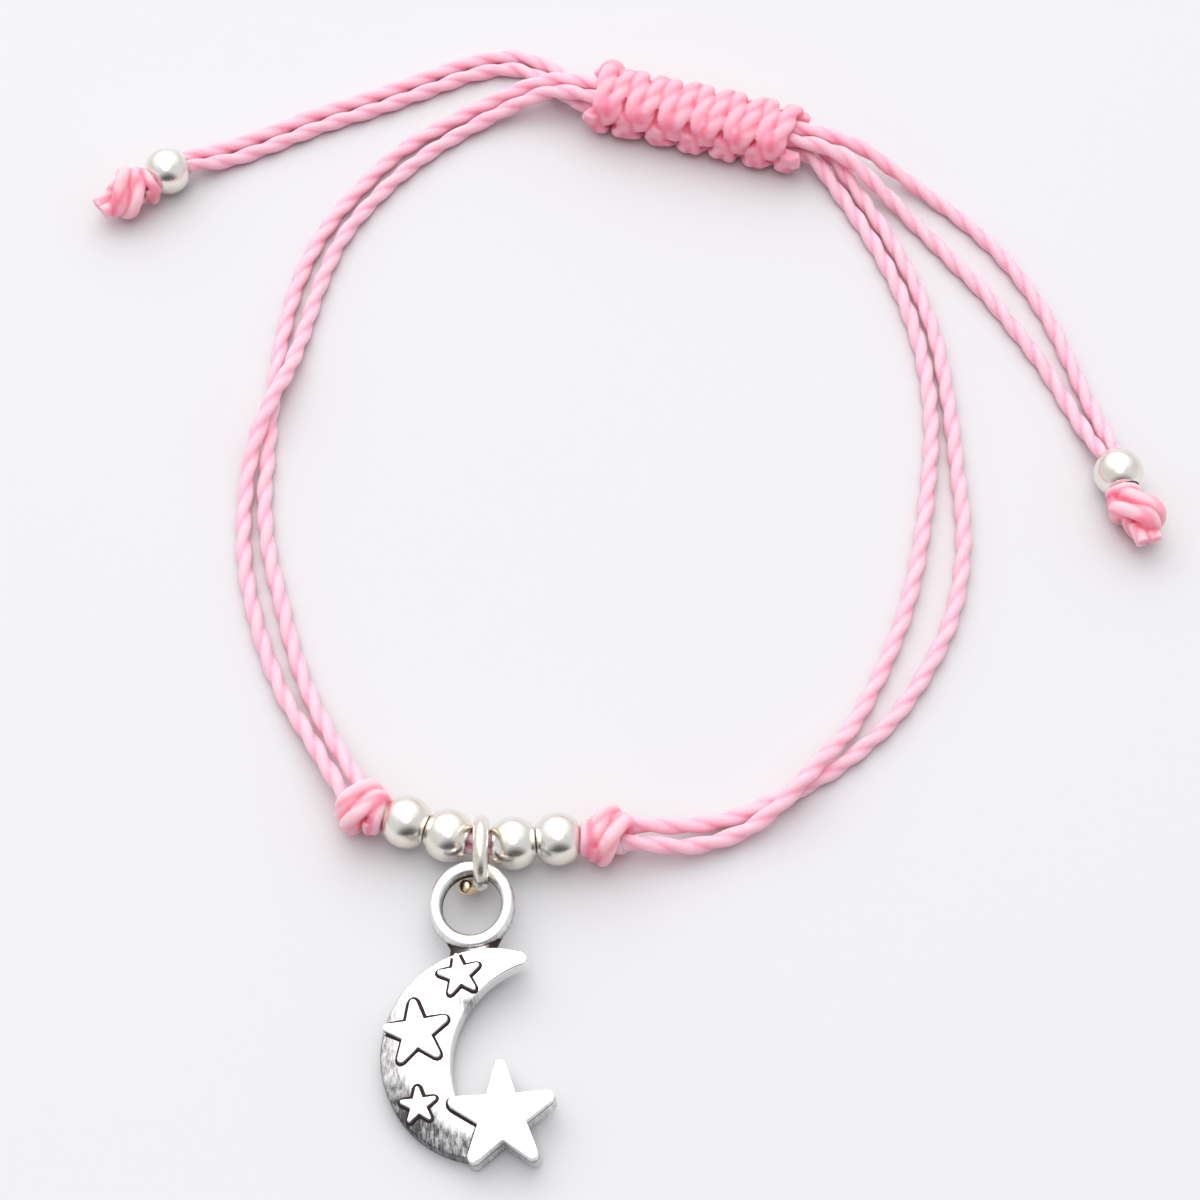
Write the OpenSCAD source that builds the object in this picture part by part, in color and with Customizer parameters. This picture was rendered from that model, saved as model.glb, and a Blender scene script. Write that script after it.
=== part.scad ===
// String bracelet of twisted cord: four silver beads and a moon charm at the
// front, a knotted slider at the back, and two pairs of free ends.
// Millimetres. +Z is up, and the bracelet lies on the plane z = 0.
// +Y runs from the charm to the slider.

/* [Cord] */
// Thickness of the twisted cord
cord_d = 1; // [0.9:0.02:1]
// Thickness of a strand where two are squeezed through a bead
squeezed_d = 0.78; // [0.7:0.02:0.78]

/* [Beads] */
// Diameter of the silver beads
bead_d = 3; // [2.8:0.05:3.1]
// Diameter of the hole through a bead
bead_hole_d = 1.7; // [1.66:0.02:1.9]

/* [Front knots] */
// Thickness of the knots beside the beads, which carry the string off the ground
front_knot_d = 3.5; // [3.4:0.05:3.6]
// Length of the left knot
left_knot_l = 3.1; // [2.9:0.1:3.3]
// Length of the right knot
right_knot_l = 3.4; // [3.2:0.1:3.6]

/* [End knots] */
// Length of the knots under the end beads
end_knot_l = 4; // [3.6:0.1:4.4]
// Thickness of the knots under the end beads
end_knot_d = 3.3; // [3.2:0.1:3.5]

/* [Slider] */
// Length of the knotted slider
slider_l = 14.2; // [13.6:0.2:14.2]
// Width of the slider
slider_w = 4.4; // [4.2:0.1:4.8]
// Height of the slider
slider_h = 3.6; // [3.6:0.05:3.7]
// How many square knots the slider shows
slider_knots = 6; // [5:1:7]

/* [Jump ring] */
// Thickness of the jump ring's wire
wire_d = 0.8; // [0.7:0.05:0.8]
// Diameter inside the jump ring
wire_ring_hole_d = 2.8; // [2.75:0.05:2.9]
// How far apart sideways the two ends of the wire stand
wire_ends_apart = 1.05; // [0.9:0.05:1.1]

/* [Charm] */
// Outer diameter of the charm's ring
charm_ring_d = 4.8; // [4.6:0.1:5]
// Diameter of the hole in the charm's ring
charm_hole_d = 3.2; // [3.2:0.05:3.3]
// Thickness of the charm's ring
charm_ring_t = 1; // [0.9:0.05:1]
// Diameter of the moon's outer edge
moon_d = 11.7; // [11.6:0.1:11.9]
// Diameter of the curve that hollows the moon
moon_bite_d = 11.2; // [11.1:0.1:11.4]
// Thickness of the moon
moon_t = 1.2; // [1:0.1:1.4]
// How far the small stars stand up from the moon
star_relief = 0.3; // [0.2:0.05:0.4]
// Radius of the big star, to its points
big_star_r = 3; // [2.9:0.05:3.1]
// Thickness of the big star
big_star_t = 1.6; // [1.5:0.1:1.9]

/* [Hidden] */
$fn = 64;
gap = 0.05;
up = [0, 0, 1];

// The string of beads bends at the jump ring, and has a straight arm to each side.
string_z = front_knot_d / 2;
string_bend = [-0.2, -20.9, string_z];
left_arm_turn = 172;
right_arm_turn = 18;
bead_l = sqrt(bead_d * bead_d - bead_hole_d * bead_hole_d);
// Each arm has two beads, and the first one starts this far from the bend.
left_beads = bead_places(0.7);
right_beads = bead_places(0.6);
left_bead_face = left_beads[1] + bead_l / 2;
right_bead_face = right_beads[1] + bead_l / 2;

// Where the front knots sit, and which way the cords leave them for the loop
left_knot_at = arm_point(left_arm_turn, left_bead_face + left_knot_l / 2);
right_knot_at = arm_point(right_arm_turn, right_bead_face + right_knot_l / 2);
left_exit_turn = 131;
right_exit_turn = 14;

// The slider's middle, and its turn about the vertical
slider_at = [1.3, 34.1, slider_h / 2];
slider_turn = -4;
strand_pitch = cord_d + 0.06;
knot_steps = 8;
knot_sides = 16;

// The end beads, and the way each string end points
end_bead_z = bead_d / 2;
left_end_at = [-31.3, 22.8, end_bead_z];
left_end_turn = 230;
right_end_at = [31.8, 12, end_bead_z];
right_end_turn = -63;
end_pair_pitch = squeezed_d + 0.04;

// The jump ring stands upright, and its plane is turned by ring_turn about the vertical.
ring_turn = 12;
ring_side = [cos(ring_turn), sin(ring_turn), 0];
ring_back = [-sin(ring_turn), cos(ring_turn), 0];
wire_ring_r = (wire_ring_hole_d + wire_d) / 2;
ring_ahead_of_string = 0.7;
ring_left_of_bend = 0.22;
// The wire starts this far aside, and only its last part is drawn to the other side.
wire_start_aside = 0.3;
wire_end_bend = 10;
ring_at = [0, 0, wire_ring_r + wire_d / 2]
    + [string_bend[0], string_bend[1], 0]
    - ring_ahead_of_string * ring_back - ring_left_of_bend * ring_side;
bead_pair_pitch = 0.8;
bead_pair_lean = 60;

// The charm hangs in the jump ring by the bar of its own ring, which the wire lifts.
charm_bar_r = (charm_ring_d + charm_hole_d) / 4;
// It leans on the outer edge of the moon, which is its lowest point.
charm_tilt = 5;
charm_roll = 5;
charm_slope = [sin(charm_roll), cos(charm_roll) * sin(charm_tilt)];
bar_ahead_of_ring = 0.62;

// The moon in the charm's own plane, with the ring's centre at the origin
moon_at = [1, -8.6];
moon_bite_at = [4.6, -9.1];
horn_tip_at = [2.55, -3.42];
horn_tip_d = 0.84;
big_star_at = [1.85, -12.2];
charm_lift = norm(charm_slope) * moon_d / 2 - charm_slope * moon_at;
charm_at = [ring_at[0], ring_at[1], charm_lift]
    - (bar_ahead_of_ring + charm_bar_r * cos(charm_tilt)) * ring_back;
// The crescent's lower horn ends under the big star, between its two left points.
horn_under_big_star = [[-2.6, 0.6], [-0.5, 0], [-0.3, -1.1], [-1.45, -1.95], [-2.8, -1.5]];
past_big_star = [[-1.72, -2.5], [0, -1.3], [0.6, 2], [6, 2], [6, -6], [-1.72, -6]];
// The rim of the moon is lower than its face.
moon_rim_w = 0.25;
moon_rim_drop = 0.2;
// The neck joins the ring to the moon, with a fillet into the ring on either side.
neck_t = 0.85;
neck_outline = [
    [-1.85, -1.45], [-1.35, -2.25], [-1.15, -2.7], [-1.3, -3.5],
    [1.5, -3.2], [1.35, -2.6], [1.5, -2.2], [1.95, -1.35]
];
// Small stars: x, y, radius, turn of the first point
SMALL_STARS = [
    [-0.55, -4.35, 1.22, 100],
    [-2.85, -7.5, 1.87, 97],
    [-2.65, -11.5, 1.03, 95]
];

// Each pair of cords runs from a front knot along the loop, through the slider
// and on to its end knot. The rows follow the middle between the two strands:
// x, y, z, distance apart, rise of the first strand over the second.
LEFT_PAIR = [
    [-7.6, -19.5, 1.75, 1.05, 0],
    [-9, -17.9, 1.5, 1.1, 0],
    [-11.2, -15.3, 1, 1.1, 0],
    [-13.2, -12.8, 0.6, 1.4, 0],
    [-15, -10, 0.5, 1.6, 0],
    [-16.6, -7, 0.5, 1.7, 0],
    [-18, -4, 0.5, 1.5, 0],
    [-19.1, -0.5, 0.5, 1.2, 0],
    [-19.7, 3, 0.8, 0.9, 0.6],
    [-19.9, 6.3, 1.05, 0, 1.1],
    [-20, 9.6, 0.8, -0.9, 0.6],
    [-20.2, 13.2, 0.5, -1.3, 0],
    [-20.2, 17, 0.5, -1.4, 0],
    [-19.7, 20.8, 0.5, -1.3, 0],
    [-18.4, 24.5, 0.5, -1.3, 0],
    [-16.6, 28, 0.5, -1.4, 0],
    [-14.2, 31, 0.5, -1.2, 0],
    [-11.4, 33.4, 1, -1.1, 0],
    [-9, 34.6, 1.8, -1.06, 0],
    [-7.2, 34.7, 2.25, -1.06, 0],
    [-5.8, 34.6, 2.33, -1.06, 0],
    [-3.5, 34.44, 2.33, -1.06, 0],
    [1.3, 34.1, 2.33, -1.06, 0],
    [6.1, 33.76, 2.33, -1.06, 0],
    [8.4, 33.6, 2.33, -1.06, 0],
    [9.8, 33.55, 2.3, -1.1, 0],
    [12.2, 33.1, 1.9, -1.4, 0],
    [15.2, 31.7, 0.9, -1.9, 0],
    [18, 29.9, 0.5, -2.5, 0],
    [20.6, 27.8, 0.5, -2.8, 0],
    [23, 25.5, 0.5, -2.6, 0],
    [25.1, 23, 0.5, -2.3, 0],
    [27, 20.3, 0.5, -1.7, 0],
    [28.6, 17.7, 0.5, -1.3, 0],
    [29.9, 15.5, 0.8, -1.1, 0],
    [31.24, 13.1, 1.5, -0.82, 0],
    [31.8, 12, 1.5, -0.82, 0],
    [32.9, 9.84, 1.5, -0.82, 0]
];
RIGHT_PAIR = [
    [7.2, -18.5, 1.75, 1.05, 0],
    [8.8, -18.1, 1.5, 1.2, 0],
    [11.2, -17.4, 1, 1.3, 0],
    [13.6, -16, 0.65, 1.15, -0.3],
    [15.4, -14.4, 0.9, 0.75, -0.8],
    [16.8, -12.8, 1.05, 0, -1.1],
    [18, -11.1, 0.9, -0.75, -0.8],
    [19.2, -9.2, 0.65, -1.2, -0.3],
    [20.3, -6.8, 0.5, -1.9, 0],
    [21.3, -3.6, 0.5, -2.4, 0],
    [22, -0.2, 0.5, -2.7, 0],
    [22.2, 3.2, 0.5, -2.7, 0],
    [22, 6.6, 0.5, -2.4, 0],
    [21.5, 10, 0.5, -1.8, 0],
    [20.9, 13.4, 0.5, -1.3, 0],
    [20, 17, 0.5, -1.1, 0],
    [18.8, 20.5, 0.5, -1.1, 0],
    [17.1, 24, 0.5, -1.1, 0],
    [15, 27.3, 0.5, -1.1, 0],
    [12.7, 30.3, 0.5, -1.1, 0],
    [11.4, 31.7, 0.75, -1.1, 0],
    [10.1, 32.95, 1.1, -1.08, 0],
    [8.7, 33.58, 1.27, -1.06, 0],
    [6.1, 33.76, 1.27, -1.06, 0],
    [1.3, 34.1, 1.27, -1.06, 0],
    [-3.5, 34.44, 1.27, -1.06, 0],
    [-5.8, 34.6, 1.27, -1.06, 0],
    [-7.2, 35.2, 1.15, -1.06, 0],
    [-9, 36.7, 0.7, -1.1, 0],
    [-11.5, 37.4, 0.5, -1.1, 0],
    [-14.2, 36.4, 0.5, -1.1, 0],
    [-17, 34.3, 0.5, -1.1, 0],
    [-20, 32, 0.5, -1.1, 0],
    [-23, 29.9, 0.5, -1.1, 0],
    [-25.8, 27.6, 0.5, -1.1, 0],
    [-28.2, 25.7, 0.6, -1.1, 0],
    [-30.5, 23.75, 1.5, -0.82, 0],
    [-31.3, 22.8, 1.5, -0.82, 0],
    [-32.9, 20.9, 1.5, -0.82, 0]
];
rings_per_row = 2;
cord_sides = 8;
// The strands narrow over this length before the end bead, and stay narrow through it.
taper_l = 2.4;
narrow_l = 3.7;

function unit(v) = v / norm(v);
function flat(v) = [v[0], v[1], v[2]];
function arm_point(turn, far) = string_bend + far * [cos(turn), sin(turn), 0];
// How far an arm's two bead middles are from the bend, when the first bead starts there
function bead_places(start) = [start + bead_l / 2, start + gap + bead_l * 3 / 2];
function row_at(rows, i) = rows[max(0, min(len(rows) - 1, i))];

// The place at fraction t of the way from b to c, on a smooth curve past a, b, c and d
function between(a, b, c, d, t) =
    b + (c - a) * t / 2 + (a - 2.5 * b + 2 * c - d / 2) * t * t
    + (b * 1.5 - a / 2 - c * 1.5 + d / 2) * t * t * t;

// All rows of a route, with rings_per_row steps from each row to the next
function smooth(rows) = [
    for (i = [0:len(rows) - 2], k = [0:rings_per_row - 1])
        between(row_at(rows, i - 1), rows[i], rows[i + 1], row_at(rows, i + 2),
                k / rings_per_row),
    rows[len(rows) - 1]
];

function heading(path, i) = unit(flat(row_at(path, i + 1)) - flat(row_at(path, i - 1)));
function leftward(v) = unit([-v[1], v[0], 0]);

// One strand of a pair: side is 1 for the first strand and -1 for the second
function strand(rows, side) = let (path = smooth(rows)) [
    for (i = [0:len(path) - 1])
        let (p = flat(path[i]) + side * (leftward(heading(path, i)) * path[i][3] / 2
                                         + up * path[i][4] / 2))
            [p[0], p[1], max(p[2], cord_d / 2)]
];

// Length of path left from each point to the end
function left_over(path, i = 0) =
    i >= len(path) - 1 ? [0]
    : let (rest = left_over(path, i + 1)) concat([rest[0] + norm(path[i + 1] - path[i])], rest);

// Thickness of a cord where this much of it is left
function cord_d_at(rest) =
    squeezed_d + (cord_d - squeezed_d) * min(1, max(0, (rest - narrow_l) / taper_l));

// A closed solid over rings of points, which turn from the path's left to its top
module skin(points, sides) {
    count = len(points) / sides;
    walls = [
        for (i = [0:count - 2], k = [0:sides - 1])
            let (a = i * sides + k, b = i * sides + (k + 1) % sides)
                each [[a, a + sides, b], [b, a + sides, b + sides]]
    ];
    first = [for (k = [0:sides - 1]) k];
    last = [for (k = [sides - 1:-1:0]) (count - 1) * sides + k];
    polyhedron(points, concat(walls, [first, last]));
}

// A closed tube along a path, with one thickness for each point of the path
module tube(path, thickness, sides) {
    skin([
        for (i = [0:len(path) - 1])
            let (along = heading(path, i), left = leftward(along), top = cross(along, left))
                for (k = [0:sides - 1])
                    path[i] + thickness[i] / 2
                        * (left * cos(k * 360 / sides) + top * sin(k * 360 / sides))
    ], sides);
}

module cord(rows, side) {
    path = strand(rows, side);
    rest = left_over(path);
    color("pink") tube(path, [for (r = rest) cord_d_at(r)], cord_sides);
}

// A strand through the beads, from inside one front knot to inside the other
module bead_cord(side) {
    offset_to_side = side * bead_pair_pitch / 2
        * (cos(bead_pair_lean) * ring_back + sin(bead_pair_lean) * up);
    inside_left = left_bead_face + left_knot_l / 2 - 0.45;
    inside_right = right_bead_face + right_knot_l / 2 - 0.45;
    left_arm = [for (far = [inside_left, left_beads[1], left_beads[0], 0.6])
        arm_point(left_arm_turn, far) + offset_to_side];
    right_arm = [for (far = [0.6, right_beads[0], right_beads[1], inside_right])
        arm_point(right_arm_turn, far) + offset_to_side];
    path = smooth(concat(left_arm, [string_bend + offset_to_side], right_arm));
    color("pink") tube(path, [for (p = path) squeezed_d], cord_sides);
}

// A pair of holes along +X for two strands, side by side along Y
module pair_hole(length, hole_d, pitch) {
    for (side = [-1, 1])
        translate([0, side * pitch / 2, 0]) rotate([0, 90, 0]) cylinder(h = length, d = hole_d);
}

// A knot's body along +X: two rounded lobes that turn round each other
module knot_body(length, thick) {
    skin([for (u = [-1:2 / knot_steps:1]) each knot_ring(u, length, thick)], knot_sides);
}

// The knot's section at u, which runs from -1 at one end to 1 at the other
function knot_ring(u, length, thick) = [
    for (k = [0:knot_sides - 1])
        let (angle = k * 360 / knot_sides,
             lobe = 0.92 - 0.08 * cos(2 * angle + 150 * u),
             radius = thick / 2 * sqrt(1 - 0.6 * u * u) * lobe)
        [u * length / 2, radius * cos(angle), radius * sin(angle)]
];

// A front knot. Its beads lie towards +X of the turned body where bead_side is 1, and
// towards -X where it is -1. The loop's cords leave it by exit_turn, sloping down by drop.
module front_knot(at, length, turn, bead_side, exit_turn, drop) {
    color("hotpink") translate(at) difference() {
        rotate(turn) knot_body(length, front_knot_d);
        rotate([0, drop, exit_turn]) pair_hole(length, cord_d + 4 * gap, cord_d + 0.05);
        rotate(turn) translate([bead_side * length / 2, 0, 0]) front_bead_hole(length);
    }
}

// The two holes that the strands of the bead string enter, one leaning over the other
module front_bead_hole(length) {
    lean = [0, cos(bead_pair_lean), sin(bead_pair_lean)];
    for (side = [-1, 1])
        translate(side * bead_pair_pitch / 2 * lean) rotate([0, 90, 0])
            cylinder(h = length, d = squeezed_d + 4 * gap, center = true);
}

module bead(at, turn) {
    color("silver") translate(at) rotate([0, 90, turn]) difference() {
        sphere(d = bead_d);
        cylinder(h = 2 * bead_d, d = bead_hole_d, center = true);
    }
}

module end_knot(at, turn) {
    along = [cos(turn), sin(turn), 0];
    middle = [at[0], at[1], end_knot_d / 2]
        + (bead_l / 2 + gap + end_knot_l / 2) * along;
    color("hotpink") difference() {
        translate(middle) rotate(turn) knot_body(end_knot_l, end_knot_d);
        translate(at) rotate(turn)
            pair_hole(bead_l / 2 + 1.4, squeezed_d + 3 * gap, end_pair_pitch);
    }
}

// Square knots in a row, round four cords that slide through the middle
module sliding_knot() {
    room = 2 * strand_pitch + 0.04;
    color("hotpink") translate(slider_at) rotate(slider_turn) {
        difference() {
            skin([
                for (i = [0:slider_knots * knot_steps]) each slider_ring(i / knot_steps)
            ], knot_sides);
            cube([slider_l * 2, room, room], center = true);
        }
        melted_cord_end();
    }
}

// The slider's section after this many knots: oblong, wide in a knot and narrow between
// two, and each knot stands out to the other side than the last
function slider_ring(knots) =
    let (bulge = abs(sin(180 * knots)) ^ 0.7,
         lean = 0.12 * bulge * (floor(knots) % 2 == 0 ? 1 : -1),
         half_w = slider_w / 2 - 0.12 - 0.2 * (1 - bulge),
         half_h = slider_h / 2 - 0.3 * (1 - bulge))
    [for (k = [0:knot_sides - 1])
        let (y = cos(k * 360 / knot_sides), z = sin(k * 360 / knot_sides))
        [(knots / slider_knots - 0.5) * slider_l,
         lean + half_w * sign(y) * abs(y) ^ 0.8, half_h * sign(z) * abs(z) ^ 0.8]];

module melted_cord_end() {
    translate([1 - slider_l / 2, slider_w / 2 - 0.3, 0.6]) sphere(d = 1.7);
}

// The jump ring's wire: nearly a whole turn, with one end drawn aside
module jump_ring() {
    turn_from = -5;
    turn_to = 345;
    steps = 30;
    path = [
        for (i = [0:steps])
            let (t = i / steps, a = turn_from + (turn_to - turn_from) * t)
                ring_at + wire_ring_r * (sin(a) * up - cos(a) * ring_back)
                + (wire_start_aside - wire_ends_apart * t ^ wire_end_bend) * ring_side
    ];
    color("silver") wire(path, wire_d, 10);
}

// A tube whose path may run in any direction except along ring_side
module wire(path, thick, sides) {
    skin([
        for (i = [0:len(path) - 1])
            let (along = heading(path, i), out = unit(cross(along, ring_side)),
                 aside = cross(along, out))
                for (k = [0:sides - 1])
                    path[i] + thick / 2
                        * (out * cos(k * 360 / sides) + aside * sin(k * 360 / sides))
    ], sides);
}

// A five-pointed star whose points are cut a little blunt
module star(radius, turn) {
    blunt = 0.07;
    inner = radius * 0.46;
    polygon([
        for (i = [0:4]) each [
            radius * [cos(turn + 72 * i - 90 * blunt), sin(turn + 72 * i - 90 * blunt)],
            radius * [cos(turn + 72 * i + 90 * blunt), sin(turn + 72 * i + 90 * blunt)],
            inner * [cos(turn + 72 * i + 36), sin(turn + 72 * i + 36)]
        ]
    ]);
}

// The crescent's outline, drawn in by inset on every side
module crescent(inset) {
    difference() {
        translate(moon_at) circle(d = moon_d - 2 * inset);
        translate(moon_bite_at) circle(d = moon_bite_d + 2 * inset);
        translate(horn_tip_at) rotate(-19) translate([0, -2]) square([4, 4]);
        translate(big_star_at) polygon(past_big_star);
    }
    translate(horn_tip_at) circle(d = horn_tip_d - 2 * inset);
    translate(big_star_at) polygon(horn_under_big_star);
}

module charm_ring() {
    bevel = 0.25;
    width = (charm_ring_d - charm_hole_d) / 2;
    rotate_extrude() translate([charm_hole_d / 2, 0]) polygon([
        [bevel, 0], [width - bevel, 0], [width, bevel], [width, charm_ring_t - bevel],
        [width - bevel, charm_ring_t], [bevel, charm_ring_t],
        [0, charm_ring_t - bevel], [0, bevel]
    ]);
}

module charm_neck() {
    linear_extrude(neck_t) polygon(neck_outline);
}

module charm() {
    color("silver") translate(charm_at) rotate(ring_turn) rotate([charm_tilt, -charm_roll, 0]) {
        difference() {
            union() {
                charm_ring();
                charm_neck();
            }
            translate([0, 0, -1]) cylinder(h = 4, d = charm_hole_d);
        }
        linear_extrude(moon_t - moon_rim_drop) crescent(0);
        linear_extrude(moon_t) crescent(moon_rim_w);
        for (s = SMALL_STARS)
            linear_extrude(moon_t + star_relief)
                intersection() {
                    translate([s[0], s[1]]) star(s[2], s[3]);
                    translate(moon_at) circle(d = moon_d);
                }
        linear_extrude(big_star_t) translate(big_star_at) star(big_star_r, 92);
    }
}

cord(LEFT_PAIR, 1);  // left_cord_1
cord(LEFT_PAIR, -1);  // left_cord_2
cord(RIGHT_PAIR, 1);  // right_cord_1
cord(RIGHT_PAIR, -1);  // right_cord_2
bead_cord(1);  // bead_cord_1
bead_cord(-1);  // bead_cord_2
front_knot(left_knot_at, left_knot_l, left_arm_turn + 180, 1, left_exit_turn, 6.7);  // left_front_knot
front_knot(right_knot_at, right_knot_l, right_arm_turn, -1, right_exit_turn, 8.6);  // right_front_knot
bead(arm_point(left_arm_turn, left_beads[1]), left_arm_turn);  // bead_1
bead(arm_point(left_arm_turn, left_beads[0]), left_arm_turn);  // bead_2
bead(arm_point(right_arm_turn, right_beads[0]), right_arm_turn);  // bead_3
bead(arm_point(right_arm_turn, right_beads[1]), right_arm_turn);  // bead_4
jump_ring();
charm();
sliding_knot();
bead(left_end_at, left_end_turn);  // left_end_bead
bead(right_end_at, right_end_turn);  // right_end_bead
end_knot(left_end_at, left_end_turn);  // left_end_knot
end_knot(right_end_at, right_end_turn);  // right_end_knot
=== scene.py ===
"""Looks of the string bracelet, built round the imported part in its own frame.

Lengths are metres. The bracelet lies on z = 0, and +Y runs from the charm to the slider.
"""

import math

import bpy
import numpy as np
from mathutils.kdtree import KDTree
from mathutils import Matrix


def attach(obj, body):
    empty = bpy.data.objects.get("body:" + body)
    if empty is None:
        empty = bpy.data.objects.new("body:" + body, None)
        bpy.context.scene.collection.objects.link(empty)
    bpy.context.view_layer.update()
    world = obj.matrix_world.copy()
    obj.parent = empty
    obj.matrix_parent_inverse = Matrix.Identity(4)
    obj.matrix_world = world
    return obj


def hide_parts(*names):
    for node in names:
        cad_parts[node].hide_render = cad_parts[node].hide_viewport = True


MM = 0.001
UP = np.array([0.0, 0.0, 1.0])

# Sizes that the part has too
CORD_D = 1.0 * MM
SQUEEZED_D = 0.78 * MM
BEAD_D = 3.0 * MM
BEAD_HOLE_D = 1.7 * MM
BEAD_L = math.sqrt(BEAD_D**2 - BEAD_HOLE_D**2)
FRONT_KNOT_D = 3.5 * MM
LEFT_KNOT_L = 3.1 * MM
RIGHT_KNOT_L = 3.4 * MM
END_KNOT_L = 4.0 * MM
END_KNOT_D = 3.3 * MM
STRING_BEND = np.array([-0.2, -20.9, 1.75]) * MM
LEFT_ARM_TURN = 172
RIGHT_ARM_TURN = 18
LEFT_BEADS = (0.7 * MM + BEAD_L / 2, 0.75 * MM + BEAD_L * 3 / 2)
RIGHT_BEADS = (0.6 * MM + BEAD_L / 2, 0.65 * MM + BEAD_L * 3 / 2)
LEFT_BEAD_FACE = LEFT_BEADS[1] + BEAD_L / 2
RIGHT_BEAD_FACE = RIGHT_BEADS[1] + BEAD_L / 2
BEAD_PAIR_LEAN = 60
SLIDER_AT = np.array([1.3, 34.1, 1.8]) * MM
SLIDER_TURN = -4
SLIDER_L = 14.2 * MM
SLIDER_W = 4.4 * MM
SLIDER_H = 3.6 * MM
SLIDER_KNOTS = 6
LEFT_END_AT = np.array([-31.3, 22.8, 1.5]) * MM
LEFT_END_TURN = 230
RIGHT_END_AT = np.array([31.8, 12.0, 1.5]) * MM
RIGHT_END_TURN = -63
RING_TURN = 12
RING_LEFT_OF_BEND = 0.22 * MM
WIRE_D = 0.8 * MM
WIRE_RING_R = 1.8 * MM
WIRE_START_ASIDE = 0.3 * MM
WIRE_ENDS_APART = 1.05 * MM
WIRE_END_BEND = 10
CHARM_HOLE_R = 1.6 * MM
CHARM_RING_R = 2.4 * MM
CHARM_RING_T = 1.0 * MM
CHARM_TILT = 5
CHARM_ROLL = 5
MOON_AT = np.array([1.0, -8.6]) * MM
MOON_R = 5.85 * MM
MOON_BITE_AT = np.array([4.6, -9.1]) * MM
MOON_BITE_R = 5.6 * MM
HORN_TIP_AT = np.array([2.55, -3.42]) * MM
BIG_STAR_AT = np.array([1.85, -12.2]) * MM
BIG_STAR_R = 3.0 * MM
BIG_STAR_T = 1.6 * MM

# Sizes drawn a little apart from the part's, so that the finer shapes clear each other
BEAD_STRAND_D = 0.71 * MM
WIRE_LOOK_D = 0.86 * MM
RING_AHEAD_OF_STRING = 0.78 * MM
BAR_AHEAD_OF_RING = 0.75 * MM
CHARM_LEFT_OF_RING = 0.13 * MM
CHARM_STRETCH = 1.02

# Each pair of cords follows its part's route: x, y, z, distance apart, and rise of the
# first strand over the second.
LEFT_PAIR = [
    (-0.0076, -0.0195, 0.00175, 0.00105, 0), (-0.009, -0.0179, 0.0015, 0.0011, 0),
    (-0.0112, -0.0153, 0.001, 0.0011, 0), (-0.0132, -0.0128, 0.0006, 0.0014, 0),
    (-0.015, -0.01, 0.0005, 0.0016, 0), (-0.0166, -0.007, 0.0005, 0.0017, 0),
    (-0.018, -0.004, 0.0005, 0.0015, 0), (-0.0191, -0.0005, 0.0005, 0.0012, 0),
    (-0.0197, 0.003, 0.0008, 0.0009, 0.0006), (-0.0199, 0.0063, 0.00105, 0, 0.0011),
    (-0.02, 0.0096, 0.0008, -0.0009, 0.0006), (-0.0202, 0.0132, 0.0005, -0.0013, 0),
    (-0.0202, 0.017, 0.0005, -0.0014, 0), (-0.0197, 0.0208, 0.0005, -0.0013, 0),
    (-0.0184, 0.0245, 0.0005, -0.0013, 0), (-0.0166, 0.028, 0.0005, -0.0014, 0),
    (-0.0142, 0.031, 0.0005, -0.0012, 0), (-0.0114, 0.0334, 0.001, -0.0011, 0),
    (-0.009, 0.0346, 0.0018, -0.00106, 0), (-0.0072, 0.0347, 0.00225, -0.00106, 0),
    (-0.0058, 0.0346, 0.00233, -0.00106, 0), (-0.0035, 0.03444, 0.00233, -0.00106, 0),
    (0.0013, 0.0341, 0.00233, -0.00106, 0), (0.0061, 0.03376, 0.00233, -0.00106, 0),
    (0.0084, 0.0336, 0.00233, -0.00106, 0), (0.0098, 0.03355, 0.0023, -0.0011, 0),
    (0.0122, 0.0331, 0.0019, -0.0014, 0), (0.0152, 0.0317, 0.0009, -0.0019, 0),
    (0.018, 0.0299, 0.0005, -0.0025, 0), (0.0206, 0.0278, 0.0005, -0.0028, 0),
    (0.023, 0.0255, 0.0005, -0.0026, 0), (0.0251, 0.023, 0.0005, -0.0023, 0),
    (0.027, 0.0203, 0.0005, -0.0017, 0), (0.0286, 0.0177, 0.0005, -0.0013, 0),
    (0.0299, 0.0155, 0.0008, -0.0011, 0), (0.03124, 0.0131, 0.0015, -0.00082, 0),
    (0.0318, 0.012, 0.0015, -0.00082, 0), (0.0329, 0.00984, 0.0015, -0.00082, 0),
]
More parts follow.
